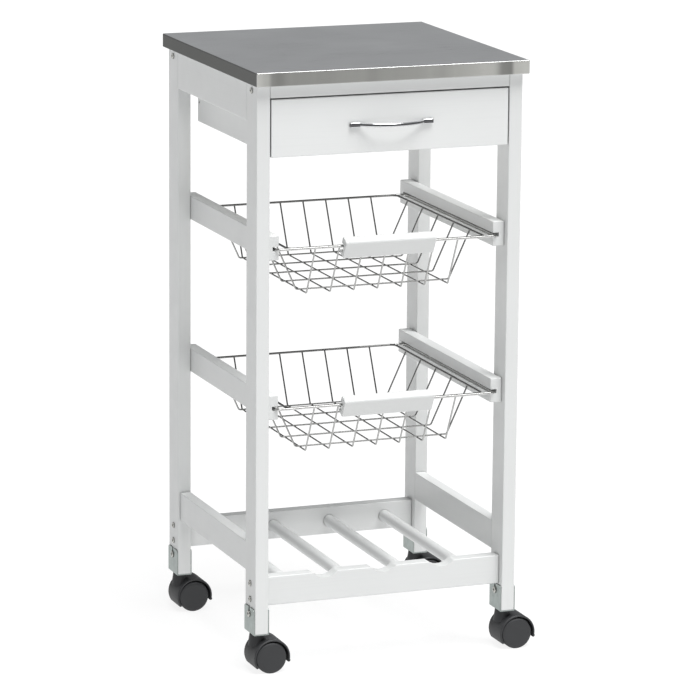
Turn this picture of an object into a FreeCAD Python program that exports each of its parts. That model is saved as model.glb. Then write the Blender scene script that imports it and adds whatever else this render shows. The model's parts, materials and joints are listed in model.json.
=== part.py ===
import FreeCAD, Part
import math
import os

# Rolling utility cart: steel-faced worktop on four legs, one drawer, two sliding wire baskets,
# a rack of round rods at the bottom and four twin-wheel swivel casters.
# Millimetres. +X is to the right, +Y to the back, +Z up, the floor is at Z = 0.
# Everything is drawn about the middle of the worktop, then moved so that the middle of the
# object's bounding box stands over the origin (see ORIGIN_SHIFT).

# ---------------------------------------------------------------- driving dimensions

HEIGHT = 783.0
TOP_WIDTH = 370.0
TOP_DEPTH = 370.0
TOP_THICK = 18.0
STEEL_THICK = 0.8
STEEL_RETURN = 12.0
STEEL_EDGE_RADIUS = 1.4

LEG_WIDTH = 18.0
LEG_DEPTH = 38.0
LEG_FOOT_Z = 53.0
TOP_OVERHANG_X = 4.5
TOP_OVERHANG_Y = 12.0
WOOD_EASE = 1.3

TOP_RAIL_HEIGHT = 16.5
TOP_SIDE_RAIL_HEIGHT = 49.0

RACK_RAIL_THICK = 18.0
RACK_RAIL_HEIGHT = 38.0
RACK_RAIL_Z = 88.0
RACK_FRONT_Y = -154.0
RACK_BACK_Y = 154.0
BOTTLE_PITCH = 81.0
SCALLOP_WIDTH = 33.5
SCALLOP_DEPTH = 7.8
SCALLOP_SHOULDER = 5.0
DOWEL_RADIUS = 8.0
DOWEL_Z = 107.0
DOWEL_SOCKET = 9.0
SOCKET_RELIEF = 0.5

LOWER_SIDE_THICK = 15.0
LOWER_SIDE_Z = 128.5
LOWER_SIDE_HEIGHT = 38.5

BASKET_RAIL_THICK = 16.0
BASKET_RAIL_HEIGHT = 32.0
BASKET_RAIL_FRONT_Y = -163.0
BASKET_RAIL_BACK_Y = 162.0
GROOVE_DEPTH = 8.5
GROOVE_HEIGHT = 5.5
GROOVE_BACK_Y = 150.0
RAIL_MIDDLE_Z = {"upper": 555.6, "lower": 348.6}
RIM_BELOW_RAIL_MIDDLE = 2.0

BASKET_HALF_X = 134.5
BASKET_FRONT_Y = -164.3
BASKET_BACK_Y = 146.0
BASKET_DROP = 65.6
BASKET_TAPER_X = 29.0
BASKET_TAPER_Y = 33.0
RIM_RADIUS = 1.5
RUNNER_RADIUS = 1.7
RUNNER_HALF_X = 150.6
RUNNER_FRONT_GAP = 3.15
MESH_RADIUS = 1.1
LONG_WIRES = 7
LONG_PITCH = 32.5
CROSS_WIRES = 5
CROSS_PITCH = 54.4
CROSS_MIDDLE_Y = -5.7

GRIP_LENGTH = 124.0
GRIP_TALL = 25.5
GRIP_THICK = 14.4
GRIP_TOP_ROUND = 3.4
GRIP_ROUND = 1.2
GRIP_LEAN = 28.07
GRIP_TOP_Y = -168.0
GRIP_TOP_ABOVE_RIM = 13.2
GRIP_SLOT_START = 9.3
GRIP_SLOT_END = 20.8
GRIP_SLOT_DEPTH = 8.5
GRIP_SCREW_X = 44.0

DRAWER_FRONT_HALF_X = 161.0
DRAWER_FRONT_THICK = 16.0
DRAWER_FRONT_Z = 673.0
DRAWER_FRONT_HEIGHT = 73.6
DRAWER_SIDE_OUT_X = 158.0
DRAWER_SIDE_THICK = 12.0
DRAWER_SIDE_Z = 674.0
DRAWER_SIDE_HEIGHT = 60.0
DRAWER_BACK_END_Y = 120.0
DRAWER_PANEL_Z = 680.0
DRAWER_PANEL_THICK = 3.0
DRAWER_PANEL_LET_IN = 4.0
RUNNER_STRIP_Z = 714.0
RUNNER_STRIP_HEIGHT = 12.0
RUNNER_STRIP_IN_X = 153.6
RUNNER_STRIP_FRONT_Y = -154.0
RUNNER_STRIP_BACK_Y = 173.0
RUNNER_GROOVE_DEPTH = 5.0
RUNNER_CLEARANCE = 0.5

DRAWER_SCREW_ZS = (700.0, 730.5)

HANDLE_REACH = 21.0
HANDLE_TALL = 5.2
HANDLE_THICK = 4.0
HANDLE_BOW_HALF = 44.0
HANDLE_FOOT_IN_X = 42.0
HANDLE_FOOT_OUT_X = 56.5
HANDLE_FOOT_TALL = 6.6
HANDLE_FOOT_DEEP = 5.0
HANDLE_SCREW_X = 48.0

BRACKET_THICK = 1.5
BRACKET_WIDTH = 36.0
BRACKET_TOP_Z = 86.2
BRACKET_SCREW_Z = 77.3
BRACKET_SLOT_HALF = 2.2

WHEEL_RADIUS = 20.5
WHEEL_INNER_Y = 5.7
WHEEL_OUTER_Y = 22.0
AXLE_RADIUS = 3.0
CASTER_TRAIL = 13.0
HOOD_SHIFT = 1.4
HOOD_INNER = 22.4
HOOD_OUTER = 24.6
HOOD_ROUND = 1.8
HOOD_HALF_WIDTH = 21.0
HOOD_WEB_HALF = 5.2
HOOD_FROM_DEG = -12.0
HOOD_TO_DEG = 212.0
HOOD_LIP_RADIUS = 2.1
HOOD_LIP_MIDDLE = 23.0
STEM_RADIUS = 3.5
STEM_COLLAR_RADIUS = 7.0
STEM_BOSS_TOP_RADIUS = 9.4
STEM_BOSS_LOW_RADIUS = 11.5
STEM_BOSS_LOW_Z = 35.0
STEM_BOSS_Z = 50.0
STEM_LOW_Z = 29.0
STEM_TOP_Z = 72.0
RUNNING_FIT = 0.05

BOLT_HEAD_RADIUS = 4.0
BOLT_SHANK_RADIUS = 2.5
BOLT_LENGTH = 44.0
BOLT_ZS = (757.0, 117.5, 96.5)
SCREW_HOLE_CLEARANCE = 0.1

# ---------------------------------------------------------------- derived sizes

TOP_UNDER_Z = HEIGHT - TOP_THICK
LEG_OUT_X = TOP_WIDTH / 2 - TOP_OVERHANG_X
LEG_IN_X = LEG_OUT_X - LEG_WIDTH
LEG_OUT_Y = TOP_DEPTH / 2 - TOP_OVERHANG_Y
LEG_IN_Y = LEG_OUT_Y - LEG_DEPTH
LEG_MID_X = (LEG_OUT_X + LEG_IN_X) / 2
LEG_MID_Y = (LEG_OUT_Y + LEG_IN_Y) / 2
BRACKET_BASE_Z = LEG_FOOT_Z - BRACKET_THICK
DRAWER_FRONT_IN_Y = -LEG_OUT_Y + DRAWER_FRONT_THICK
DRAWER_SIDE_IN_X = DRAWER_SIDE_OUT_X - DRAWER_SIDE_THICK
DRAWER_BACK_Y = DRAWER_BACK_END_Y - DRAWER_SIDE_THICK
HANDLE_Z = DRAWER_FRONT_Z + DRAWER_FRONT_HEIGHT / 2
HANDLE_FRONT_Y = -LEG_OUT_Y - HANDLE_REACH
HOOD_LIP_X = HOOD_LIP_MIDDLE * math.cos(math.radians(HOOD_FROM_DEG))
HOOD_LIP_Z = HOOD_LIP_MIDDLE * math.sin(math.radians(HOOD_FROM_DEG))
CASTER_RIGHT_X = LEG_MID_X + CASTER_TRAIL + HOOD_SHIFT + HOOD_LIP_X + HOOD_LIP_RADIUS
ORIGIN_SHIFT = FreeCAD.Vector(
    -(CASTER_RIGHT_X - TOP_WIDTH / 2) / 2,
    -(TOP_DEPTH / 2 + HANDLE_FRONT_Y) / 2,
    0,
)
RIM_Z = {level: z - RIM_BELOW_RAIL_MIDDLE for level, z in RAIL_MIDDLE_Z.items()}
CORNERS = {
    "front_left": (-1, -1),
    "front_right": (1, -1),
    "back_left": (-1, 1),
    "back_right": (1, 1),
}
SIDES = {"left": -1, "right": 1}


def vec(x, y, z):
    return FreeCAD.Vector(x, y, z)


# ---------------------------------------------------------------- shape helpers


def block(x0, x1, y0, y1, z0, z1):
    """Box between two corners, given in any order."""
    low = vec(min(x0, x1), min(y0, y1), min(z0, z1))
    return Part.makeBox(abs(x1 - x0), abs(y1 - y0), abs(z1 - z0), low)


def board(x0, x1, y0, y1, z0, z1, ease=WOOD_EASE):
    """Wooden board with every edge eased."""
    shape = block(x0, x1, y0, y1, z0, z1)
    return shape.makeFillet(ease, shape.Edges)


def cylinder(radius, start, end):
    axis = end - start
    return Part.makeCylinder(radius, axis.Length, start, axis)


def bent_path(points, bend, closed=False):
    """Straight runs through the points, joined by tangent arcs of one bend radius."""
    count = len(points)
    corners = range(count) if closed else range(1, count - 1)
    ends = {}
    arcs = {}
    for index in corners:
        corner = points[index]
        to_prev = (points[index - 1] - corner).normalize()
        to_next = (points[(index + 1) % count] - corner).normalize()
        half = to_prev.getAngle(to_next) / 2
        cut = bend / math.tan(half)
        inward = (to_prev + to_next).normalize()
        middle = corner + inward * (bend / math.sin(half) - bend)
        ends[index] = (corner + to_prev * cut, corner + to_next * cut)
        arcs[index] = Part.Arc(ends[index][0], middle, ends[index][1]).toShape()
    edges = []
    for index in range(count if closed else count - 1):
        after = (index + 1) % count
        start = ends[index][1] if index in ends else points[index]
        end = ends[after][0] if after in ends else points[after]
        edges.append(Part.LineSegment(start, end).toShape())
        if after in arcs:
            edges.append(arcs[after])
    return Part.Wire(edges)


def round_wire(points, bend, radius, closed=False):
    """Round steel wire bent along the points."""
    path = bent_path(points, bend, closed)
    first = path.Edges[0]
    start = first.valueAt(first.FirstParameter)
    tangent = first.tangentAt(first.FirstParameter)
    section = Part.Wire(Part.Circle(start, tangent, radius).toShape())
    return path.makePipeShell([section], True, False)


def cross_screw(point, outward, head_radius, head_height, shank_radius, length):
    """Pan-head screw with a cross recess; the underside of its head is at point."""
    head = Part.makeCylinder(head_radius, head_height)
    rim = [edge for edge in head.Edges if abs(edge.BoundBox.ZMin - head_height) < 1e-6]
    head = head.makeFillet(head_height * 0.6, rim)
    shank = Part.makeCylinder(shank_radius, length, vec(0, 0, -length))
    arm = head_radius * 0.55
    slot = head_radius * 0.13
    recess = block(-arm, arm, -slot, slot, head_height * 0.45, head_height * 2)
    recess = recess.fuse(block(-slot, slot, -arm, arm, head_height * 0.45, head_height * 2))
    screw = head.fuse(shank).cut(recess)
    turn = FreeCAD.Rotation(vec(0, 0, 1), outward)
    screw.Placement = FreeCAD.Placement(point, turn)
    return screw


def drilled(shape, points, direction, radius, depth):
    """Shape with round holes of one size that start at the points."""
    for point in points:
        shape = shape.cut(Part.makeCylinder(radius, depth, point, direction))
    return shape


# ---------------------------------------------------------------- worktop


def worktop_core():
    half_x = TOP_WIDTH / 2 - STEEL_THICK
    half_y = TOP_DEPTH / 2 - STEEL_THICK
    low = TOP_UNDER_Z + STEEL_THICK
    return block(-half_x, half_x, -half_y, half_y, low, HEIGHT - STEEL_THICK)


def worktop_steel_cover():
    half_x = TOP_WIDTH / 2
    half_y = TOP_DEPTH / 2
    outside = block(-half_x, half_x, -half_y, half_y, TOP_UNDER_Z, HEIGHT)
    outside = outside.makeFillet(STEEL_EDGE_RADIUS, outside.Edges)
    open_x = half_x - STEEL_RETURN
    open_y = half_y - STEEL_RETURN
    opening = block(-open_x, open_x, -open_y, open_y, TOP_UNDER_Z - 1, TOP_UNDER_Z + 2)
    return outside.cut(worktop_core()).cut(opening)


# ---------------------------------------------------------------- frame


def bolt_y(side_y):
    return RACK_FRONT_Y if side_y < 0 else RACK_BACK_Y


def bolt_points(side_x, side_y):
    return [vec(side_x * LEG_OUT_X, bolt_y(side_y), z) for z in BOLT_ZS]


def bolt_holes(shape):
    """Bolt holes of all four legs, cut from a leg or from a rail between two legs."""
    radius = BOLT_SHANK_RADIUS + SCREW_HOLE_CLEARANCE
    for side_x, side_y in CORNERS.values():
        points = bolt_points(side_x, side_y)
        shape = drilled(shape, points, vec(-side_x, 0, 0), radius, BOLT_LENGTH + 1)
    return shape


def bracket_screw_points(side_x, side_y):
    """Point under each head, and the way the head faces, on one bracket."""
    y = side_y * LEG_MID_Y
    outer = vec(side_x * (LEG_OUT_X + BRACKET_THICK), y, BRACKET_SCREW_Z)
    inner = vec(side_x * (LEG_IN_X - BRACKET_THICK), y, BRACKET_SCREW_Z)
    return [(outer, vec(side_x, 0, 0)), (inner, vec(-side_x, 0, 0))]


def leg(side_x, side_y):
    shape = board(
        side_x * LEG_IN_X, side_x * LEG_OUT_X, side_y * LEG_IN_Y, side_y * LEG_OUT_Y,
        LEG_FOOT_Z, TOP_UNDER_Z,
    )
    shape = bolt_holes(shape)
    for point, outward in bracket_screw_points(side_x, side_y):
        shape = drilled(shape, [point], outward * -1, 1.75 + SCREW_HOLE_CLEARANCE, 10.5)
    foot = vec(side_x * LEG_MID_X, side_y * LEG_MID_Y, LEG_FOOT_Z)
    return drilled(shape, [foot], vec(0, 0, 1), STEM_RADIUS + 0.5, STEM_TOP_Z + 2 - LEG_FOOT_Z)


def top_rail(side_y):
    low = TOP_UNDER_Z - TOP_RAIL_HEIGHT
    shape = board(
        -LEG_IN_X, LEG_IN_X, side_y * LEG_IN_Y, side_y * LEG_OUT_Y, low, TOP_UNDER_Z
    )
    return bolt_holes(shape)


def top_side_rail(side_x):
    low = TOP_UNDER_Z - TOP_SIDE_RAIL_HEIGHT
    return board(
        side_x * LEG_IN_X, side_x * LEG_OUT_X, -LEG_IN_Y, LEG_IN_Y, low, TOP_UNDER_Z
    )


def lower_side_rail(side_x):
    outer = LEG_IN_X + LOWER_SIDE_THICK
    high = LOWER_SIDE_Z + LOWER_SIDE_HEIGHT
    return board(side_x * LEG_IN_X, side_x * outer, -LEG_IN_Y, LEG_IN_Y, LOWER_SIDE_Z, high)


def dowel_xs():
    return [(index - 1.5) * BOTTLE_PITCH for index in range(4)]


def rack_dowel_line(x, radius):
    low = RACK_FRONT_Y + RACK_RAIL_THICK / 2 - DOWEL_SOCKET
    high = RACK_BACK_Y - RACK_RAIL_THICK / 2 + DOWEL_SOCKET
    return cylinder(radius, vec(x, low, DOWEL_Z), vec(x, high, DOWEL_Z))


def rack_dowels():
    return [rack_dowel_line(x, DOWEL_RADIUS) for x in dowel_xs()]


def rack_rail(middle_y):
    y0 = middle_y - RACK_RAIL_THICK / 2
    y1 = middle_y + RACK_RAIL_THICK / 2
    shape = board(-LEG_IN_X, LEG_IN_X, y0, y1, RACK_RAIL_Z, RACK_RAIL_Z + RACK_RAIL_HEIGHT)
    inner_y = y1 if middle_y < 0 else y0
    for x in dowel_xs():
        shape = shape.cut(rack_dowel_line(x, DOWEL_RADIUS + SCREW_HOLE_CLEARANCE))
        near = vec(x, inner_y - SOCKET_RELIEF, DOWEL_Z)
        far = vec(x, inner_y + SOCKET_RELIEF, DOWEL_Z)
        shape = shape.cut(cylinder(DOWEL_RADIUS + SOCKET_RELIEF, near, far))
    return bolt_holes(shape)


def bottle_scallop(middle_x):
    """Cutter for one bottle rest: a shallow round dip with softened shoulders."""
    top = RACK_RAIL_Z + RACK_RAIL_HEIGHT
    half = SCALLOP_WIDTH / 2
    radius = (half * half + SCALLOP_DEPTH * SCALLOP_DEPTH) / (2 * SCALLOP_DEPTH)
    centre = vec(middle_x, 0, top - SCALLOP_DEPTH + radius)
    reach = math.sqrt((radius + SCALLOP_SHOULDER) ** 2 - (radius - SCALLOP_DEPTH + SCALLOP_SHOULDER) ** 2)
    meet = radius / (radius + SCALLOP_SHOULDER)
    drop = (centre.z - top + SCALLOP_SHOULDER) * meet
    edges = []
    touch = {}
    for side in (-1, 1):
        shoulder = vec(middle_x + side * reach, 0, top - SCALLOP_SHOULDER)
        touch[side] = vec(middle_x + side * reach * meet, 0, centre.z - drop)
        level = vec(shoulder.x, 0, top)
        turn = (touch[side] - shoulder + vec(0, 0, SCALLOP_SHOULDER)).normalize()
        middle = shoulder + turn * SCALLOP_SHOULDER
        edges.append(Part.Arc(level, middle, touch[side]).toShape())
        edges.append(Part.LineSegment(level, level + vec(0, 0, 5)).toShape())
    lowest = vec(middle_x, 0, top - SCALLOP_DEPTH)
    edges.append(Part.Arc(touch[-1], lowest, touch[1]).toShape())
    above = vec(0, 0, 5)
    left = vec(middle_x - reach, 0, top) + above
    right = vec(middle_x + reach, 0, top) + above
    edges.append(Part.LineSegment(left, right).toShape())
    face = Part.Face(Part.Wire(Part.__sortEdges__(edges)))
    face.translate(vec(0, RACK_FRONT_Y - RACK_RAIL_THICK, 0))
    return face.extrude(vec(0, 2 * RACK_RAIL_THICK, 0))


def rack_rail_front():
    shape = rack_rail(RACK_FRONT_Y)
    for index in (-1, 0, 1):
        shape = shape.cut(bottle_scallop(index * BOTTLE_PITCH))
    return shape


def basket_rail(side_x, level):
    inner = LEG_IN_X - BASKET_RAIL_THICK
    low = RAIL_MIDDLE_Z[level] - BASKET_RAIL_HEIGHT / 2
    shape = board(
        side_x * inner, side_x * LEG_IN_X, BASKET_RAIL_FRONT_Y, BASKET_RAIL_BACK_Y,
        low, low + BASKET_RAIL_HEIGHT,
    )
    groove_low = RIM_Z[level] - RUNNER_RADIUS - 0.3
    groove = block(
        side_x * (inner - 1), side_x * (inner + GROOVE_DEPTH),
        BASKET_RAIL_FRONT_Y - 1, GROOVE_BACK_Y, groove_low, groove_low + GROOVE_HEIGHT,
    )
    return shape.cut(groove)


def drawer_runner(side_x):
    high = RUNNER_STRIP_Z + RUNNER_STRIP_HEIGHT
    return board(
        side_x * RUNNER_STRIP_IN_X, side_x * LEG_IN_X, RUNNER_STRIP_FRONT_Y, RUNNER_STRIP_BACK_Y,
        RUNNER_STRIP_Z, high,
    )


def frame_bolts():
    bolts = []
    for side_x, side_y in CORNERS.values():
        for point in bolt_points(side_x, side_y):
            bolts.append(
                cross_screw(
                    point, vec(side_x, 0, 0), BOLT_HEAD_RADIUS, 1.8, BOLT_SHANK_RADIUS, BOLT_LENGTH
                )
            )
    return bolts


# ---------------------------------------------------------------- drawer


def handle_screw_points():
    return [vec(side * HANDLE_SCREW_X, DRAWER_FRONT_IN_Y, HANDLE_Z) for side in (-1, 1)]


def drawer_front():
    half = DRAWER_FRONT_HALF_X
    shape = board(
        -half, half, -LEG_OUT_Y, DRAWER_FRONT_IN_Y,
        DRAWER_FRONT_Z, DRAWER_FRONT_Z + DRAWER_FRONT_HEIGHT, 1.2,
    )
    shape = shape.cut(drawer_bottom())
    return drilled(shape, handle_screw_points(), vec(0, -1, 0), 2.1, DRAWER_FRONT_THICK + 1)


def drawer_bottom():
    half = DRAWER_SIDE_IN_X + DRAWER_PANEL_LET_IN
    front = DRAWER_FRONT_IN_Y - DRAWER_PANEL_LET_IN
    high = DRAWER_PANEL_Z + DRAWER_PANEL_THICK
    return block(-half, half, front, DRAWER_BACK_END_Y - 1, DRAWER_PANEL_Z, high)


def back_screw_points(side_x):
    y = DRAWER_BACK_Y + DRAWER_SIDE_THICK / 2
    x = side_x * DRAWER_SIDE_OUT_X
    return [vec(x, y, z) for z in DRAWER_SCREW_ZS]


def drawer_side(side_x):
    shape = board(
        side_x * DRAWER_SIDE_IN_X, side_x * DRAWER_SIDE_OUT_X, DRAWER_FRONT_IN_Y,
        DRAWER_BACK_END_Y, DRAWER_SIDE_Z, DRAWER_SIDE_Z + DRAWER_SIDE_HEIGHT,
    )
    groove_low = RUNNER_STRIP_Z - RUNNER_CLEARANCE
    groove_high = RUNNER_STRIP_Z + RUNNER_STRIP_HEIGHT + RUNNER_CLEARANCE
    groove = block(
        side_x * (DRAWER_SIDE_OUT_X - RUNNER_GROOVE_DEPTH), side_x * (DRAWER_SIDE_OUT_X + 1),
        DRAWER_FRONT_IN_Y - 1, DRAWER_BACK_END_Y + 1, groove_low, groove_high,
    )
    shape = shape.cut(groove).cut(drawer_bottom())
    radius = 1.75 + SCREW_HOLE_CLEARANCE
    return drilled(shape, back_screw_points(side_x), vec(-side_x, 0, 0), radius, 31)


def drawer_back():
    low = DRAWER_PANEL_Z + DRAWER_PANEL_THICK
    high = DRAWER_SIDE_Z + DRAWER_SIDE_HEIGHT
    shape = board(
        -DRAWER_SIDE_IN_X, DRAWER_SIDE_IN_X, DRAWER_BACK_Y, DRAWER_BACK_END_Y, low, high
    )
    radius = 1.75 + SCREW_HOLE_CLEARANCE
    for side_x in SIDES.values():
        shape = drilled(shape, back_screw_points(side_x), vec(-side_x, 0, 0), radius, 31)
    return shape


def drawer_handle():
    """Bow handle: a round-backed bow that springs from two small feet on the drawer front."""
    face_y = -LEG_OUT_Y
    end_y = face_y - HANDLE_FOOT_DEEP / 2
    start = vec(-HANDLE_BOW_HALF, end_y, HANDLE_Z)
    middle = vec(0, HANDLE_FRONT_Y + HANDLE_THICK / 2, HANDLE_Z)
    path = Part.Wire(Part.Arc(start, middle, vec(HANDLE_BOW_HALF, end_y, HANDLE_Z)).toShape())
    tangent = path.Edges[0].tangentAt(path.Edges[0].FirstParameter)
    across = tangent.cross(vec(0, 0, 1)).normalize()
    tall = start + vec(0, 0, HANDLE_TALL / 2)
    section = Part.Ellipse(tall, start + across * (HANDLE_THICK / 2), start)
    handle = path.makePipeShell([Part.Wire(section.toShape())], True, False)
    half_z = HANDLE_FOOT_TALL / 2
    for side in (-1, 1):
        foot = board(
            side * HANDLE_FOOT_IN_X, side * HANDLE_FOOT_OUT_X, face_y, face_y - HANDLE_FOOT_DEEP,
            HANDLE_Z - half_z, HANDLE_Z + half_z, 1.6,
        )
        handle = handle.fuse(foot)
    handle = handle.removeSplitter()
    depth = DRAWER_FRONT_THICK + HANDLE_FOOT_DEEP - 1.8
    return drilled(handle, handle_screw_points(), vec(0, -1, 0), 2.1, depth)


def drawer_screws():
    screws = []
    for point in handle_screw_points():
        screws.append(cross_screw(point, vec(0, 1, 0), 3.8, 2.2, 2.0, DRAWER_FRONT_THICK + 2.4))
    for side_x in SIDES.values():
        for point in back_screw_points(side_x):
            head_seat = point - vec(side_x * 2.0, 0, 0)
            screws.append(cross_screw(head_seat, vec(side_x, 0, 0), 1.7, 1.6, 1.6, 28))
    return screws


# ---------------------------------------------------------------- baskets


def basket_rim(level):
    z = RIM_Z[level]
    x = BASKET_HALF_X
    mid_y = (BASKET_FRONT_Y + BASKET_BACK_Y) / 2
    points = [
        vec(x, mid_y, z), vec(x, BASKET_BACK_Y, z), vec(-x, BASKET_BACK_Y, z),
        vec(-x, BASKET_FRONT_Y, z), vec(x, BASKET_FRONT_Y, z), vec(x, mid_y, z),
    ]
    return round_wire(points, 8.0, RIM_RADIUS)


def basket_runner(level):
    """Outer wire: down both grooves, across the front, and in to the rim's back corners."""
    z = RIM_Z[level]
    x = RUNNER_HALF_X
    front = BASKET_FRONT_Y - RUNNER_FRONT_GAP
    back = BASKET_BACK_Y - 0.5
    hook = BASKET_HALF_X - 1.0
    points = [
        vec(-hook, back, z), vec(-x, back, z), vec(-x, front, z),
        vec(x, front, z), vec(x, back, z), vec(hook, back, z),
    ]
    return round_wire(points, 6.0, RUNNER_RADIUS)


def basket_long_wires(level):
    z = RIM_Z[level]
    low = z - BASKET_DROP
    wires = []
    for index in range(LONG_WIRES):
        x = (index - (LONG_WIRES - 1) / 2) * LONG_PITCH
        points = [
            vec(x, BASKET_FRONT_Y, z), vec(x, BASKET_FRONT_Y + BASKET_TAPER_Y, low),
            vec(x, BASKET_BACK_Y - BASKET_TAPER_Y, low), vec(x, BASKET_BACK_Y, z),
        ]
        wires.append(round_wire(points, 4.0, MESH_RADIUS))
    return wires


def basket_cross_wires(level):
    z = RIM_Z[level]
    low = z - BASKET_DROP + 2 * MESH_RADIUS - 0.1
    wires = []
    for index in range(CROSS_WIRES):
        y = CROSS_MIDDLE_Y + (index - (CROSS_WIRES - 1) / 2) * CROSS_PITCH
        inner = BASKET_HALF_X - BASKET_TAPER_X
        points = [
            vec(-BASKET_HALF_X, y, z), vec(-inner, y, low),
            vec(inner, y, low), vec(BASKET_HALF_X, y, z),
        ]
        wires.append(round_wire(points, 4.0, MESH_RADIUS))
    return wires


def grip_point(level, x, down, inward):
    """Point on the leaning grip bar: down its back face from the top edge, and in from it."""
    lean = math.radians(GRIP_LEAN)
    y = GRIP_TOP_Y + down * math.sin(lean) - inward * math.cos(lean)
    z = RIM_Z[level] + GRIP_TOP_ABOVE_RIM - down * math.cos(lean) - inward * math.sin(lean)
    return vec(x, y, z)


def grip_outward():
    lean = math.radians(GRIP_LEAN)
    return vec(0, math.cos(lean), math.sin(lean))


def grip_prism(level, down0, down1, in0, in1, half):
    corners = [(down0, in0), (down1, in0), (down1, in1), (down0, in1), (down0, in0)]
    outline = [grip_point(level, -half, down, inward) for down, inward in corners]
    return Part.Face(Part.makePolygon(outline)).extrude(vec(2 * half, 0, 0))


def basket_grip(level):
    """Bar that leans like the basket's front wall and holds the front wires in its slot."""
    bar = grip_prism(level, 0, GRIP_TALL, 0, GRIP_THICK, GRIP_LENGTH / 2)
    long_edges = [edge for edge in bar.Edges if edge.BoundBox.XLength > 1]
    top_edges = [edge for edge in long_edges if edge.BoundBox.ZMin > RIM_Z[level]]
    bar = bar.makeFillet(GRIP_TOP_ROUND, top_edges)
    low_edges = [
        edge for edge in bar.Edges
        if edge.BoundBox.XLength < 1 or edge.BoundBox.ZMax < RIM_Z[level] - 5
    ]
    bar = bar.makeFillet(GRIP_ROUND, low_edges)
    slot = grip_prism(
        level, GRIP_SLOT_START, GRIP_SLOT_END, -2, GRIP_SLOT_DEPTH, GRIP_LENGTH / 2 + 1
    )
    bar = bar.cut(slot)
    for index in (-1, 0, 1):
        notch = grip_prism(level, GRIP_SLOT_END - 1, GRIP_TALL + 1, -2, 5.2, MESH_RADIUS + 0.6)
        notch.translate(vec(index * LONG_PITCH, 0, 0))
        bar = bar.cut(notch)
    points = [grip_point(level, side * GRIP_SCREW_X, 16.9, 0) for side in (-1, 1)]
    return drilled(bar, points, grip_outward() * -1, 1.6, 12.8)


def basket_grip_screws(level):
    screws = []
    for side in (-1, 1):
        point = grip_point(level, side * GRIP_SCREW_X, 16.9, 1.1)
        screws.append(cross_screw(point, grip_outward(), 3.8, 1.3, 1.5, 11.5))
    return screws


# ---------------------------------------------------------------- casters


def stem_centre(side_x, side_y, z=0.0):
    return vec(side_x * LEG_MID_X, side_y * LEG_MID_Y, z)


def axle_centre(side_x, side_y):
    return stem_centre(side_x, side_y, WHEEL_RADIUS) + vec(CASTER_TRAIL, 0, 0)


def caster_bracket(side_x, side_y):
    """U bracket: a base under the foot and a flange up each side of the leg."""
    out_x = LEG_WIDTH / 2 + BRACKET_THICK
    half_y = BRACKET_WIDTH / 2
    shape = block(-out_x, out_x, -half_y, half_y, BRACKET_BASE_Z, BRACKET_TOP_Z)
    upright = [edge for edge in shape.Edges if edge.BoundBox.XLength > 1]
    top_edges = [edge for edge in upright if edge.BoundBox.ZMin > LEG_FOOT_Z]
    shape = shape.makeFillet(3.0, top_edges)
    bends = [
        edge for edge in shape.Edges
        if edge.BoundBox.YLength > half_y and edge.BoundBox.ZMax < LEG_FOOT_Z
    ]
    shape = shape.makeFillet(BRACKET_THICK * 0.9, bends)
    inside = LEG_WIDTH / 2
    room = block(-inside, inside, -half_y - 1, half_y + 1, LEG_FOOT_Z, BRACKET_TOP_Z + 1)
    shape = shape.cut(room)
    stem_hole = Part.makeCylinder(STEM_RADIUS + 0.3, 10, vec(0, 0, BRACKET_BASE_Z - 4))
    screw_hole = Part.makeCylinder(BRACKET_SLOT_HALF, 60, vec(-30, 0, BRACKET_SCREW_Z), vec(1, 0, 0))
    screw_slot = block(
        -30, 30, -BRACKET_SLOT_HALF, BRACKET_SLOT_HALF, BRACKET_SCREW_Z, BRACKET_TOP_Z + 1
    )
    shape = shape.cut(stem_hole).cut(screw_hole).cut(screw_slot)
    shape.translate(stem_centre(side_x, side_y))
    return shape


def caster_brackets():
    return [caster_bracket(side_x, side_y) for side_x, side_y in CORNERS.values()]


def bracket_screws():
    screws = []
    for side_x, side_y in CORNERS.values():
        for point, outward in bracket_screw_points(side_x, side_y):
            screws.append(cross_screw(point, outward, 4.5, 1.8, 1.75, 9.5))
    return screws


def caster_stem(side_x, side_y):
    low = stem_centre(side_x, side_y, STEM_LOW_Z)
    top = stem_centre(side_x, side_y, STEM_TOP_Z)
    collar_low = stem_centre(side_x, side_y, STEM_BOSS_Z + 0.3)
    collar_top = stem_centre(side_x, side_y, BRACKET_BASE_Z)
    return cylinder(STEM_RADIUS, low, top).fuse(
        cylinder(STEM_COLLAR_RADIUS, collar_low, collar_top)
    ).removeSplitter()


def caster_stems():
    return [caster_stem(side_x, side_y) for side_x, side_y in CORNERS.values()]


def hood_sector():
    """Rounded slice of a round bar, over the angle that the hood covers."""
    sweep = HOOD_TO_DEG - HOOD_FROM_DEG
    slice_ = Part.makeCylinder(HOOD_OUTER, 2 * HOOD_HALF_WIDTH, vec(0, 0, 0), vec(0, 0, 1), sweep)
    rims = [edge for edge in slice_.Edges if isinstance(edge.Curve, Part.Circle)]
    slice_ = slice_.makeFillet(HOOD_ROUND, rims)
    slice_.rotate(vec(0, 0, 0), vec(0, 0, 1), HOOD_FROM_DEG)
    slice_.rotate(vec(0, 0, 0), vec(1, 0, 0), 90)
    slice_.translate(vec(0, HOOD_HALF_WIDTH, 0))
    return slice_


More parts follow.
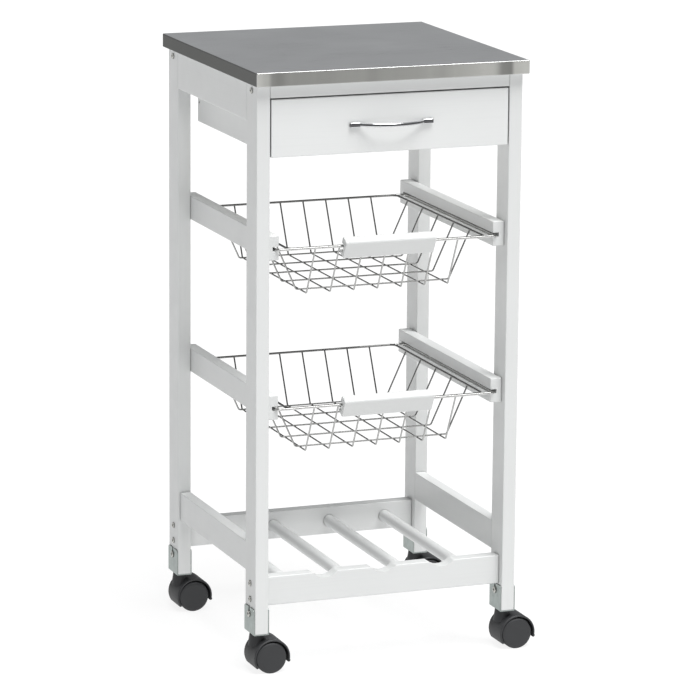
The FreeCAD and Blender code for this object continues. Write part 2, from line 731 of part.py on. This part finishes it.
def caster_hood(side_x, side_y):
    """Hood over both wheels, with the middle web that holds the axle and the stem."""
    stem_x = -CASTER_TRAIL - HOOD_SHIFT
    axle = vec(-HOOD_SHIFT, 0, 0)
    boss_low = STEM_BOSS_LOW_Z - WHEEL_RADIUS
    boss = Part.makeCone(
        STEM_BOSS_LOW_RADIUS, STEM_BOSS_TOP_RADIUS, STEM_BOSS_Z - STEM_BOSS_LOW_Z,
        vec(stem_x, 0, boss_low),
    )
    lip_half = HOOD_HALF_WIDTH - 0.6
    lip = cylinder(
        HOOD_LIP_RADIUS, vec(HOOD_LIP_X, -lip_half, HOOD_LIP_Z), vec(HOOD_LIP_X, lip_half, HOOD_LIP_Z)
    )
    shape = hood_sector().fuse(boss).fuse(lip)
    for side in (-1, 1):
        well = cylinder(
            HOOD_INNER, vec(0, side * HOOD_WEB_HALF, 0), vec(0, side * (HOOD_HALF_WIDTH + 1), 0)
        )
        shape = shape.cut(well)
    web = cylinder(9.0, axle - vec(0, HOOD_WEB_HALF, 0), axle + vec(0, HOOD_WEB_HALF, 0))
    shape = shape.fuse(web).removeSplitter()
    stem_bore = Part.makeCylinder(
        STEM_RADIUS + RUNNING_FIT, 60, vec(stem_x, 0, STEM_LOW_Z - 0.5 - WHEEL_RADIUS)
    )
    axle_hole = cylinder(AXLE_RADIUS + 0.02, axle - vec(0, 30, 0), axle + vec(0, 30, 0))
    shape = shape.cut(stem_bore).cut(axle_hole)
    shape.translate(axle_centre(side_x, side_y) - axle)
    return shape


def caster_axle(side_x, side_y):
    half = WHEEL_OUTER_Y - 2.4
    shape = cylinder(AXLE_RADIUS, vec(0, -half, 0), vec(0, half, 0))
    shape.translate(axle_centre(side_x, side_y))
    return shape


def caster_wheel(side_x, side_y, face):
    """Wheel with a hollow inner side and a closed outer side with a bevelled rim."""
    bore = AXLE_RADIUS + RUNNING_FIT
    outline = [
        (0.0, WHEEL_OUTER_Y), (0.0, WHEEL_OUTER_Y - 2.0), (bore, WHEEL_OUTER_Y - 2.0),
        (bore, WHEEL_INNER_Y), (7.5, WHEEL_INNER_Y), (7.5, WHEEL_OUTER_Y - 4.0),
        (16.5, WHEEL_OUTER_Y - 4.0), (16.5, WHEEL_INNER_Y + 0.5),
        (WHEEL_RADIUS - 1.0, WHEEL_INNER_Y + 0.5), (WHEEL_RADIUS, WHEEL_INNER_Y + 2.0),
        (WHEEL_RADIUS, WHEEL_OUTER_Y - 2.4), (WHEEL_RADIUS - 0.5, WHEEL_OUTER_Y - 1.2),
        (WHEEL_RADIUS - 1.7, WHEEL_OUTER_Y - 0.5), (WHEEL_RADIUS - 3.5, WHEEL_OUTER_Y),
        (0.0, WHEEL_OUTER_Y),
    ]
    profile = Part.makePolygon([vec(radius, face * y, 0) for radius, y in outline])
    shape = Part.Face(profile).revolve(vec(0, 0, 0), vec(0, 1, 0), 360)
    shape.translate(axle_centre(side_x, side_y))
    return shape


# ---------------------------------------------------------------- all nodes


def frame_nodes():
    nodes = {
        "worktop_core": worktop_core(),
        "worktop_steel_cover": worktop_steel_cover(),
        "top_rail_front": top_rail(-1),
        "top_rail_back": top_rail(1),
        "rack_rail_front": rack_rail_front(),
        "rack_rail_back": rack_rail(RACK_BACK_Y),
        "rack_dowels": rack_dowels(),
        "frame_bolts": frame_bolts(),
    }
    for corner, (side_x, side_y) in CORNERS.items():
        nodes["leg_" + corner] = leg(side_x, side_y)
    for side, side_x in SIDES.items():
        nodes["top_side_rail_" + side] = top_side_rail(side_x)
        nodes["lower_side_rail_" + side] = lower_side_rail(side_x)
        nodes["drawer_runner_" + side] = drawer_runner(side_x)
        for level in RIM_Z:
            nodes["basket_rail_" + level + "_" + side] = basket_rail(side_x, level)
    return nodes


def drawer_nodes():
    nodes = {
        "drawer_front": drawer_front(),
        "drawer_back": drawer_back(),
        "drawer_bottom": drawer_bottom(),
        "drawer_handle": drawer_handle(),
        "drawer_screws": drawer_screws(),
    }
    for side, side_x in SIDES.items():
        nodes["drawer_side_" + side] = drawer_side(side_x)
    return nodes


def basket_nodes(level):
    name = "basket_" + level + "_"
    return {
        name + "rim": basket_rim(level),
        name + "runner": basket_runner(level),
        name + "long_wires": basket_long_wires(level),
        name + "cross_wires": basket_cross_wires(level),
        name + "grip": basket_grip(level),
        name + "grip_screws": basket_grip_screws(level),
    }


def caster_nodes():
    nodes = {
        "caster_brackets": caster_brackets(),
        "bracket_screws": bracket_screws(),
        "caster_stems": caster_stems(),
    }
    for corner, (side_x, side_y) in CORNERS.items():
        name = "caster_" + corner + "_"
        nodes[name + "hood"] = caster_hood(side_x, side_y)
        nodes[name + "axle"] = caster_axle(side_x, side_y)
        nodes[name + "wheel_a"] = caster_wheel(side_x, side_y, -1)
        nodes[name + "wheel_b"] = caster_wheel(side_x, side_y, 1)
    return nodes


def all_nodes():
    nodes = frame_nodes()
    nodes.update(drawer_nodes())
    for level in RIM_Z:
        nodes.update(basket_nodes(level))
    nodes.update(caster_nodes())
    return nodes


def save(name, shape):
    if isinstance(shape, list):
        shape = Part.makeCompound(shape)
    shape.translate(ORIGIN_SHIFT)
    shape.exportStep("parts/" + name + ".step")


os.makedirs("parts", exist_ok=True)
for node_name, node_shape in all_nodes().items():
    save(node_name, node_shape)
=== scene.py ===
import json
import math

import bpy
from mathutils import Matrix, Vector


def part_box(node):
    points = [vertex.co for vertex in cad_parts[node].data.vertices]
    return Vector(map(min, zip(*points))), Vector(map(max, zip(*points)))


# Looks for the rolling utility cart: procedural materials on the CAD nodes, a pale floor,
# soft studio light and the camera. Lengths are in metres, in the CAD frame.

# Camera: angles in degrees, lens and sensor in millimetres
CAMERA_AZIMUTH = -21.02
CAMERA_ELEVATION = 12.43
CAMERA_DISTANCE = 5.547
CAMERA_ROLL = 0.46
CAMERA_LENS = 217.3
CAMERA_SENSOR = 36.0
CAMERA_AIM = (-0.00219, 0.0045, 0.3810)
CAMERA_CLIP_END = 200.0

# Light and floor: the world goes from its horizon strength to its zenith strength between
# two heights of a unit direction, and the soft panel above acts like a very wide sun
WORLD_COLOUR = (0.97, 0.985, 1.0)
HORIZON_STRENGTH = 0.30
ZENITH_STRENGTH = 0.26
HORIZON_TOP = 0.45
ZENITH_FROM = 0.85
SUN_TOWARDS = (0.15, -0.37, 1.0)
SUN_SPREAD = 40.0
SUN_STRENGTH = 3.4
FLOOR_RADIUS = 60.0
FLOOR_COLOUR = (0.18, 0.18, 0.18)
FLOOR_GLOW = 0.86

# White painted wood. The drawer's front has a brighter, smoother coat than the frame's boards.
PAINT_WHITE = (0.745, 0.755, 0.75)
PANEL_WHITE = (0.79, 0.80, 0.795)
WORN_PAINT = (0.62, 0.60, 0.55)
# Painted shade: paint on faces towards ±X is mixed toward this darker colour, by the share below
PAINTED_SIDE_SHADE = (0.36, 0.37, 0.37)
PAINTED_SIDE_SHADE_SHARE = 0.16
# Painted light: faces that point up on boards along Y get the paint colour raised by this gain
SIDE_BOARD_TOP_PAINTED_LIGHT = 1.24
FRAME_GRAIN_DEPTH = 0.00010
PANEL_GRAIN_DEPTH = 0.00003
PEEL_DEPTH = 0.00004
PAINT_EDGE = 0.0009
# Painted shade: reach of the darkening of the paint in corners and recesses
PAINTED_CORNER_SHADE = 0.003

# Stainless sheet, with a painted shade colour for its front and the painted reflection (x,
# brightness) bands that run along its front edge
STEEL = (0.85, 0.86, 0.87)
STEEL_FRONT_PAINTED_SHADE = (0.62, 0.62, 0.585)
PAINTED_REFLECTION_BANDS = (
    (-0.198, 0.82), (-0.184, 0.64), (-0.176, 0.35), (-0.168, 0.31), (-0.150, 0.42), (-0.060, 0.44),
    (0.040, 0.51), (0.120, 0.76), (0.136, 0.34), (0.146, 0.32), (0.152, 0.76), (0.172, 0.80),
)
STEEL_ENDS_PAINTED_SHADE = (0.16, 0.162, 0.158)
STEEL_RUBBED = (0.95, 0.95, 0.94)
ENDS_SPECULAR_PAINTED_SHADE = (0.46, 0.46, 0.46)
STEEL_EDGE = 0.0012

# Plated wire, with the brightness of its upper side (painted shade) and its lower side (painted
# light) for each kind of wire
WIRE_METAL = (1.0, 1.0, 0.985)
WIRE_PAINTED_SHADE_AND_LIGHT = (0.16, 0.52)
RIM_PAINTED_SHADE_AND_LIGHT = (0.11, 0.34)
RUNNER_PAINTED_SHADE_AND_LIGHT = (0.30, 0.74)

# Other metals
CHROME = (0.80, 0.81, 0.82)
CHROME_PAINTED_DARK_REFLECTION = (0.10, 0.10, 0.105)
NICKEL = (0.54, 0.54, 0.51)
SCREW_RIM_PAINTED_SHADE = 0.0011
SCREW_RECESS_PAINTED_SHADE = 0.0026
ZINC = (0.345, 0.39, 0.38)
ZINC_SPANGLE = (0.60, 0.60, 0.56)
ZINC_RUBBED = (0.78, 0.78, 0.75)
ZINC_EDGE = 0.0006
ZINC_CORNER_PAINTED_SHADE = 0.002
AXLE_STEEL = (0.50, 0.50, 0.50)
METAL_GRAIN_DEPTH = 0.00003
POLISH_DEPTH = 0.00002

# Plastic and boards
BLACK_PLASTIC = (0.030, 0.031, 0.033)
PLASTIC_EDGE = 0.0008
PLASTIC_GRAIN_DEPTH = 0.00006
FIBREBOARD = (0.36, 0.24, 0.13)
HARDBOARD = (0.74, 0.73, 0.70)
BOARD_FIBRE_DEPTH = 0.00010

BLACK = (0.0, 0.0, 0.0)
WHITE = (1.0, 1.0, 1.0)

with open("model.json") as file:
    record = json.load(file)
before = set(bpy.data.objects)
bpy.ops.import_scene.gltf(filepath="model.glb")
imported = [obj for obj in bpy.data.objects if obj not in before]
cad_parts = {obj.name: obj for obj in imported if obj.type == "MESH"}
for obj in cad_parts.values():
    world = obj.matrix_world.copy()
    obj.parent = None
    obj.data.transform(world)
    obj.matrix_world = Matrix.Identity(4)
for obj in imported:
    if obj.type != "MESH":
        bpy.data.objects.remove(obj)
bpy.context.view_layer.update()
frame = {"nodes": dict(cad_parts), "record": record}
nodes = frame["nodes"]


class Graph:
    """A new material and short ways to add and join its nodes."""

    def __init__(self, name):
        self.material = bpy.data.materials.new(name)
        self.material.use_nodes = True
        self.tree = self.material.node_tree
        self.tree.nodes.clear()
        output = self.tree.nodes.new("ShaderNodeOutputMaterial")
        self.shader = self.tree.nodes.new("ShaderNodeBsdfPrincipled")
        self.join(self.shader.outputs["BSDF"], output.inputs["Surface"])
        self.place = self.tree.nodes.new("ShaderNodeTexCoord").outputs["Object"]

    def join(self, source, target):
        self.tree.links.new(source, target)

    def fill(self, socket, value):
        if isinstance(value, bpy.types.NodeSocket):
            self.join(value, socket)
        else:
            socket.default_value = value

    def set(self, **values):
        """Sets or links the shader's sockets, named with underscores for spaces."""
        for name, value in values.items():
            if isinstance(value, tuple) and len(value) == 3 and "Color" in name:
                value = (*value, 1.0)
            self.fill(self.shader.inputs[name.replace("_", " ")], value)

    def stretch(self, scale):
        """Coordinates scaled by a different amount along X, Y and Z."""
        node = self.tree.nodes.new("ShaderNodeMapping")
        self.join(self.place, node.inputs["Vector"])
        node.inputs["Scale"].default_value = scale
        return node.outputs["Vector"]

    def noise(self, scale, detail=3.0, roughness=0.5, vector=None):
        node = self.tree.nodes.new("ShaderNodeTexNoise")
        self.join(vector or self.place, node.inputs["Vector"])
        node.inputs["Scale"].default_value = scale
        node.inputs["Detail"].default_value = detail
        node.inputs["Roughness"].default_value = roughness
        return node.outputs["Fac"]

    def cells(self, scale, vector=None):
        """A random value in each cell of a cell pattern."""
        node = self.tree.nodes.new("ShaderNodeTexVoronoi")
        self.join(vector or self.place, node.inputs["Vector"])
        node.inputs["Scale"].default_value = scale
        return node.outputs["Color"]

    def span(self, value, low, high, from_low=0.3, from_high=0.7):
        node = self.tree.nodes.new("ShaderNodeMapRange")
        self.fill(node.inputs["Value"], value)
        node.inputs["From Min"].default_value = from_low
        node.inputs["From Max"].default_value = from_high
        node.inputs["To Min"].default_value = low
        node.inputs["To Max"].default_value = high
        return node.outputs["Result"]

    def maths(self, operation, first, second):
        node = self.tree.nodes.new("ShaderNodeMath")
        node.operation = operation
        self.fill(node.inputs[0], first)
        self.fill(node.inputs[1], second)
        return node.outputs[0]

    def blend(self, factor, first, second):
        """Colour between two colours."""
        node = self.tree.nodes.new("ShaderNodeMix")
        node.data_type = "RGBA"
        self.fill(node.inputs[0], factor)
        for socket, colour in ((node.inputs[6], first), (node.inputs[7], second)):
            if isinstance(colour, tuple):
                colour = (*colour, 1.0)
            self.fill(socket, colour)
        return node.outputs[2]

    def bump(self, height, depth, strength=1.0, under=None):
        """Bump of a real depth in metres, on top of another bump."""
        node = self.tree.nodes.new("ShaderNodeBump")
        self.join(height, node.inputs["Height"])
        node.inputs["Distance"].default_value = depth
        node.inputs["Strength"].default_value = strength
        if under is not None:
            self.join(under, node.inputs["Normal"])
        return node.outputs["Normal"]

    def ramp_along_x(self, stops):
        """Value between 0 and 1 that follows (x in metres, value) stops along the part."""
        split = self.tree.nodes.new("ShaderNodeSeparateXYZ")
        self.join(self.place, split.inputs[0])
        first, last = stops[0][0], stops[-1][0]
        node = self.tree.nodes.new("ShaderNodeValToRGB")
        self.join(self.span(split.outputs["X"], 0.0, 1.0, first, last), node.inputs["Fac"])
        ramp = node.color_ramp
        ramp.interpolation = "EASE"
        for x, _ in stops[1:-1]:
            ramp.elements.new((x - first) / (last - first))
        for element, (_, value) in zip(ramp.elements, stops):
            element.color = (value, value, value, 1.0)
        return node.outputs["Color"]

    def edges(self, width):
        """1 on edges sharper than the given rounding, 0 on flat faces."""
        bevel = self.tree.nodes.new("ShaderNodeBevel")
        bevel.samples = 4
        bevel.inputs["Radius"].default_value = width
        geometry = self.tree.nodes.new("ShaderNodeNewGeometry")
        dot = self.tree.nodes.new("ShaderNodeVectorMath")
        dot.operation = "DOT_PRODUCT"
        self.join(bevel.outputs["Normal"], dot.inputs[0])
        self.join(geometry.outputs["True Normal"], dot.inputs[1])
        return self.span(dot.outputs["Value"], 1.0, 0.0, 0.75, 0.995)

    def painted_shade_in_hollows(self, reach):
        """1 in corners and recesses within the given reach, 0 in the open; the mask for painted
        shade.
        """
        node = self.tree.nodes.new("ShaderNodeAmbientOcclusion")
        node.samples = 6
        node.inputs["Distance"].default_value = reach
        return self.span(node.outputs["AO"], 1.0, 0.0, 0.35, 0.95)

    def normal(self, axis):
        """Part of the surface's own direction along an axis, from -1 to 1."""
        geometry = self.tree.nodes.new("ShaderNodeNewGeometry")
        split = self.tree.nodes.new("ShaderNodeSeparateXYZ")
        self.join(geometry.outputs["True Normal"], split.inputs[0])
        return split.outputs[axis]

    def facing(self, axis):
        """How far the surface faces along an axis, either way, from 0 to 1."""
        return self.maths("ABSOLUTE", self.normal(axis), 0.0)


def shade(colour, factor):
    return tuple(channel * factor for channel in colour)


def along(axis, run, across):
    """Scale that makes a pattern long along one axis."""
    return tuple(run if name == axis else across for name in "XYZ")


def painted_wood(axis, white=PAINT_WHITE, grain_depth=FRAME_GRAIN_DEPTH, top_painted_light=1.0):
    """Satin white paint sprayed on wood, with the grain along one axis faintly showing through,
    painted shade in corners and on the faces towards ±X, and painted light on the faces that point
    up.
    """
    g = Graph("white_paint_grain_" + axis)
    grain = g.noise(1.0, 6.0, 0.6, g.stretch(along(axis, 9.0, 420.0)))
    patches = g.noise(7.0, 3.0)
    peel = g.noise(900.0, 2.0)
    tone = g.blend(g.span(patches, 0.0, 1.0), shade(white, 0.975), white)
    tone = g.blend(g.span(grain, 0.10, 0.0, 0.35, 0.5), tone, shade(white, 0.86))
    # Painted shade: paint darkened in corners and recesses
    tone = g.blend(g.maths("MULTIPLY", g.painted_shade_in_hollows(PAINTED_CORNER_SHADE), 0.45), tone, shade(white, 0.45))
    chips = g.span(g.noise(140.0, 4.0), 0.0, 0.35, 0.45, 0.65)
    worn = g.maths("MULTIPLY", g.edges(PAINT_EDGE), chips)
    tone = g.blend(worn, tone, WORN_PAINT)
    # Painted shade: faces towards ±X are darkened toward the side colour
    tone = g.blend(g.span(g.facing(0), 0.0, PAINTED_SIDE_SHADE_SHARE, 0.5, 0.95), tone, PAINTED_SIDE_SHADE)
    # Painted light: faces that point up get the plain paint colour times the top gain, lighter
    # than the shaded sides and corners
    tone = g.blend(g.span(g.normal(2), 0.0, 1.0, 0.6, 0.95), tone, shade(white, top_painted_light))
    g.set(Base_Color=tone, Coat_Weight=0.12, Coat_Roughness=0.25)
    satin = g.span(g.noise(60.0, 4.0), 0.34, 0.46)
    g.set(Roughness=g.maths("ADD", satin, g.maths("MULTIPLY", worn, 0.4)))
    normal = g.bump(grain, grain_depth, 0.35)
    g.set(Normal=g.bump(peel, PEEL_DEPTH, 0.5, normal))
    return g.material


def brushed_steel():
    """Stainless sheet brushed along X on the top and the front, with painted shade and painted
    reflection bands on its front and painted shade on its folded ends.
    """
    g = Graph("brushed_stainless")
    lines = g.noise(1.0, 4.0, 0.7, g.stretch((14.0, 2600.0, 2600.0)))
    broad = g.noise(1.0, 3.0, 0.5, g.stretch((3.0, 60.0, 60.0)))
    tone = g.blend(g.span(lines, 0.0, 1.0), shade(STEEL, 0.88), shade(STEEL, 1.04))
    tone = g.blend(g.span(broad, 0.0, 0.5), tone, shade(STEEL, 0.97))
    # Painted reflection and painted shade on the front face: a darker front colour under bands of
    # brightness along X
    streak = g.noise(1.0, 3.0, 0.6, g.stretch((26.0, 3.0, 3.0)))
    bands = g.maths("MULTIPLY", g.ramp_along_x(PAINTED_REFLECTION_BANDS), g.span(streak, 0.90, 1.10))
    front_painted_reflection = g.blend(bands, BLACK, STEEL_FRONT_PAINTED_SHADE)
    tone = g.blend(g.span(g.facing(1), 0.0, 0.95, 0.5, 0.95), tone, front_painted_reflection)
    # Painted shade: the folded ends facing ±X get a dark colour and a dimmer specular tint
    ends = g.span(g.facing(0), 0.0, 1.0, 0.5, 0.95)
    tone = g.blend(ends, tone, STEEL_ENDS_PAINTED_SHADE)
    rubbed = g.maths("MULTIPLY", g.edges(STEEL_EDGE), g.span(g.noise(90.0, 3.0), 0.4, 1.0))
    tone = g.blend(g.maths("MULTIPLY", rubbed, 0.45), tone, STEEL_RUBBED)
    g.set(Base_Color=tone, Metallic=1.0)
    g.set(Specular_Tint=g.blend(ends, WHITE, ENDS_SPECULAR_PAINTED_SHADE))
    smudge = g.noise(11.0, 4.0, 0.6)
    g.set(Roughness=g.maths("ADD", g.span(lines, 0.24, 0.36), g.span(smudge, 0.0, 0.06)))
    g.set(Normal=g.bump(lines, METAL_GRAIN_DEPTH, 0.6))
    return g.material


def plated_wire(name, painted_shade_and_light):
    """Plated wire with draw marks and dull spots, with painted shade on its upper side and painted
    light on its lower side.
    """
    above, below = (shade(WIRE_METAL, tone) for tone in painted_shade_and_light)
    g = Graph(name)
    spots = g.noise(260.0, 4.0, 0.6)
    broad = g.noise(18.0, 2.0)
    # Painted shade above and painted light below, by the direction the surface faces
    tone = g.blend(g.span(g.normal(2), 1.0, 0.0, -0.35, 0.35), above, below)
    tone = g.blend(g.span(spots, 0.25, 0.0), tone, above)
    tone = g.blend(g.span(broad, 0.0, 0.15), tone, below)
    g.set(Base_Color=tone, Metallic=1.0)
    g.set(Roughness=g.span(spots, 0.10, 0.20))
    g.set(Normal=g.bump(g.noise(1400.0, 2.0), METAL_GRAIN_DEPTH, 0.4))
    return g.material


def polished_chrome():
    """Chrome under a thin film of handling, with a painted dark reflection where it faces level
    rather than up or down.
    """
    g = Graph("polished_chrome")
    film = g.noise(35.0, 4.0, 0.6)
    tone = g.blend(g.span(film, 0.0, 1.0), shade(CHROME, 0.93), CHROME)
    # Painted reflection: chrome that faces level is darkened as if it reflected a dark surround
    level = g.span(g.facing(2), 1.0, 0.0, 0.22, 0.42)
    tone = g.blend(level, tone, CHROME_PAINTED_DARK_REFLECTION)
    g.set(Base_Color=tone, Metallic=1.0)
    g.set(Roughness=g.span(film, 0.08, 0.16))
    g.set(Normal=g.bump(g.noise(500.0, 2.0), POLISH_DEPTH, 0.3))
    return g.material


def nickel_plate():
    """Screw heads: nickel, with painted shade in the cross recess and round the rim."""
    g = Graph("nickel_plate")
    film = g.noise(420.0, 4.0, 0.6)
    tone = g.blend(g.span(film, 0.0, 1.0), shade(NICKEL, 0.78), shade(NICKEL, 1.15))
    # Painted shade: the cross recess and the rim outline are darkened almost to black
    tone = g.blend(g.painted_shade_in_hollows(SCREW_RECESS_PAINTED_SHADE), tone, shade(NICKEL, 0.06))
    tone = g.blend(g.maths("MULTIPLY", g.edges(SCREW_RIM_PAINTED_SHADE), 0.8), tone, shade(NICKEL, 0.08))
    g.set(Base_Color=tone, Metallic=1.0)
    g.set(Roughness=g.span(film, 0.22, 0.38))
    g.set(Normal=g.bump(g.noise(1500.0, 2.0), METAL_GRAIN_DEPTH, 0.4))
    return g.material


def zinc_plate():
    """Blue-passivated zinc: small spangles, cloudy tone, rolled lines up the sheet, painted shade
    in its corners and recesses.
    """
    g = Graph("zinc_plate")
    spangle = g.cells(420.0)
    cloud = g.noise(90.0, 4.0, 0.6)
    rolled = g.noise(1.0, 3.0, 0.6, g.stretch((1500.0, 1500.0, 60.0)))
    tone = g.blend(g.span(cloud, 0.0, 1.0), shade(ZINC, 0.84), shade(ZINC, 1.08))
    tone = g.blend(g.span(spangle, 0.0, 0.22, 0.0, 1.0), tone, ZINC_SPANGLE)
    # Painted shade: zinc darkened in corners and recesses
    tone = g.blend(g.maths("MULTIPLY", g.painted_shade_in_hollows(ZINC_CORNER_PAINTED_SHADE), 0.8), tone, shade(ZINC, 0.20))
    rubbed = g.maths("MULTIPLY", g.edges(ZINC_EDGE), g.span(g.noise(300.0, 3.0), 0.2, 0.8))
    tone = g.blend(g.maths("MULTIPLY", rubbed, 0.6), tone, ZINC_RUBBED)
    g.set(Base_Color=tone, Metallic=1.0)
    g.set(Roughness=g.span(spangle, 0.36, 0.50, 0.0, 1.0))
    g.set(Normal=g.bump(rolled, METAL_GRAIN_DEPTH, 0.5))
    return g.material


def turned_steel():
    """Axles and stems: plain steel with fine turning rings."""
    g = Graph("turned_steel")
    rings = g.noise(1.0, 3.0, 0.6, g.stretch((400.0, 3000.0, 3000.0)))
    tone = g.blend(g.span(rings, 0.0, 1.0), shade(AXLE_STEEL, 0.85), AXLE_STEEL)
    g.set(Base_Color=tone, Metallic=1.0)
    g.set(Roughness=g.span(rings, 0.28, 0.42))
    g.set(Normal=g.bump(rings, POLISH_DEPTH, 0.5))
    return g.material


def moulded_plastic():
    """Matte black nylon with a fine spark-eroded grain, rubbed paler along its edges."""
    g = Graph("moulded_black_plastic")
    grain = g.noise(1500.0, 3.0, 0.6)
    cloud = g.noise(40.0, 4.0, 0.6)
    tone = g.blend(g.span(cloud, 0.0, 1.0), shade(BLACK_PLASTIC, 0.88), shade(BLACK_PLASTIC, 1.12))
    rubbed = g.maths("MULTIPLY", g.edges(PLASTIC_EDGE), g.span(g.noise(220.0, 3.0), 0.2, 1.0))
    tone = g.blend(g.maths("MULTIPLY", rubbed, 0.5), tone, shade(BLACK_PLASTIC, 3.0))
    g.set(Base_Color=tone)
    g.set(Roughness=g.span(cloud, 0.50, 0.62))
    g.set(Normal=g.bump(grain, PLASTIC_GRAIN_DEPTH, 0.5))
    return g.material


def raw_board(name, colour):
    """Pressed fibre panel: speckled, with short fibres pressed into the face."""
    g = Graph(name)
    fibre = g.noise(1.0, 5.0, 0.7, g.stretch((900.0, 320.0, 600.0)))
    fleck = g.noise(650.0, 3.0, 0.7)
    tone = g.blend(g.span(fibre, 0.0, 1.0), shade(colour, 0.90), shade(colour, 1.04))
    tone = g.blend(g.span(fleck, 0.35, 0.0, 0.25, 0.4), tone, shade(colour, 0.72))
    g.set(Base_Color=tone)
    g.set(Roughness=g.span(fibre, 0.62, 0.80))
    g.set(Normal=g.bump(fibre, BOARD_FIBRE_DEPTH, 0.4))
    return g.material


def grain_axis(name):
    """The longest side of a board, which its grain follows."""
    low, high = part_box(name)
    size = [high[i] - low[i] for i in range(3)]
    return "XYZ"[size.index(max(size))]


paint = {
    "X": painted_wood("X"),
    "Y": painted_wood("Y", top_painted_light=SIDE_BOARD_TOP_PAINTED_LIGHT),
    "Z": painted_wood("Z"),
}
looks = {
    "stainless": brushed_steel(),
    "wire": plated_wire("plated_wire", WIRE_PAINTED_SHADE_AND_LIGHT),
    "rim": plated_wire("plated_rim", RIM_PAINTED_SHADE_AND_LIGHT),
    "runner": plated_wire("plated_runner", RUNNER_PAINTED_SHADE_AND_LIGHT),
    "chrome": polished_chrome(),
    "nickel": nickel_plate(),
    "zinc": zinc_plate(),
    "steel": turned_steel(),
    "black_plastic": moulded_plastic(),
    "panel": painted_wood("X", PANEL_WHITE, PANEL_GRAIN_DEPTH),
    "fibreboard": raw_board("raw_fibreboard", FIBREBOARD),
    "hardboard": raw_board("faced_hardboard", HARDBOARD),
}

for part in frame["record"]["subparts"]:
    name, slot = part["node"], part["material_slot"]
    look = paint[grain_axis(name)] if slot == "white_paint" else looks[slot]
    if name == "drawer_front":
        look = looks["panel"]
    elif slot == "wire":
        look = looks.get(name.split("_")[-1], looks["wire"])
    mesh = nodes[name].data
    mesh.materials.clear()
    mesh.materials.append(look)


def add_floor():
    g = Graph("studio_floor")
    tone = g.blend(g.span(g.noise(1.5, 2.0), 0.0, 1.0), shade(FLOOR_COLOUR, 0.995), FLOOR_COLOUR)
    g.set(Base_Color=tone, Roughness=0.9, Specular_IOR_Level=0.1)
    g.set(Emission_Color=WHITE, Emission_Strength=FLOOR_GLOW)
    mesh = bpy.data.meshes.new("studio_floor")
    side = FLOOR_RADIUS
    corners = [(-side, -side, 0), (side, -side, 0), (side, side, 0), (-side, side, 0)]
    mesh.from_pydata(corners, [], [(0, 1, 2, 3)])
    mesh.materials.append(g.material)
    floor = bpy.data.objects.new("studio_floor", mesh)
    bpy.context.scene.collection.objects.link(floor)


def add_top_panel():
    """Very large soft light from above and in front, even over the whole floor."""
    light = bpy.data.lights.new("top_panel", "SUN")
    light.energy = SUN_STRENGTH
    light.angle = math.radians(SUN_SPREAD)
    lamp = bpy.data.objects.new("top_panel", light)
    lamp.rotation_mode = "QUATERNION"
    lamp.rotation_quaternion = Vector(SUN_TOWARDS).to_track_quat("Z", "Y")
    bpy.context.scene.collection.objects.link(lamp)


def add_world():
    """Even studio walls up to the top of the horizon band, darker overhead."""
    world = bpy.data.worlds.new("studio")
    world.use_nodes = True
    tree = world.node_tree
    background = tree.nodes["Background"]
    background.inputs["Color"].default_value = (*WORLD_COLOUR, 1.0)
    place = tree.nodes.new("ShaderNodeTexCoord")
    split = tree.nodes.new("ShaderNodeSeparateXYZ")
    ramp = tree.nodes.new("ShaderNodeMapRange")
    ramp.interpolation_type = "SMOOTHSTEP"
    ramp.inputs["From Min"].default_value = HORIZON_TOP
    ramp.inputs["From Max"].default_value = ZENITH_FROM
    ramp.inputs["To Min"].default_value = HORIZON_STRENGTH
    ramp.inputs["To Max"].default_value = ZENITH_STRENGTH
    tree.links.new(place.outputs["Generated"], split.inputs[0])
    tree.links.new(split.outputs["Z"], ramp.inputs["Value"])
    tree.links.new(ramp.outputs["Result"], background.inputs["Strength"])
    bpy.context.scene.world = world


def add_camera():
    azimuth, elevation = math.radians(CAMERA_AZIMUTH), math.radians(CAMERA_ELEVATION)
    back = Vector((
        math.sin(azimuth) * math.cos(elevation),
        -math.cos(azimuth) * math.cos(elevation),
        math.sin(elevation),
    ))
    data = bpy.data.cameras.new("camera")
    data.sensor_width = CAMERA_SENSOR
    data.lens = CAMERA_LENS
    data.clip_end = CAMERA_CLIP_END
    camera = bpy.data.objects.new("camera", data)
    level = back.to_track_quat("Z", "Y").to_matrix()
    roll = Matrix.Rotation(math.radians(CAMERA_ROLL), 3, "Z")
    camera.matrix_world = (level @ roll).to_4x4()
    camera.location = Vector(CAMERA_AIM) + back * CAMERA_DISTANCE
    bpy.context.scene.collection.objects.link(camera)
    bpy.context.scene.camera = camera


add_floor()
add_world()
add_top_panel()
add_camera()
bpy.context.scene.view_settings.view_transform = "Standard"
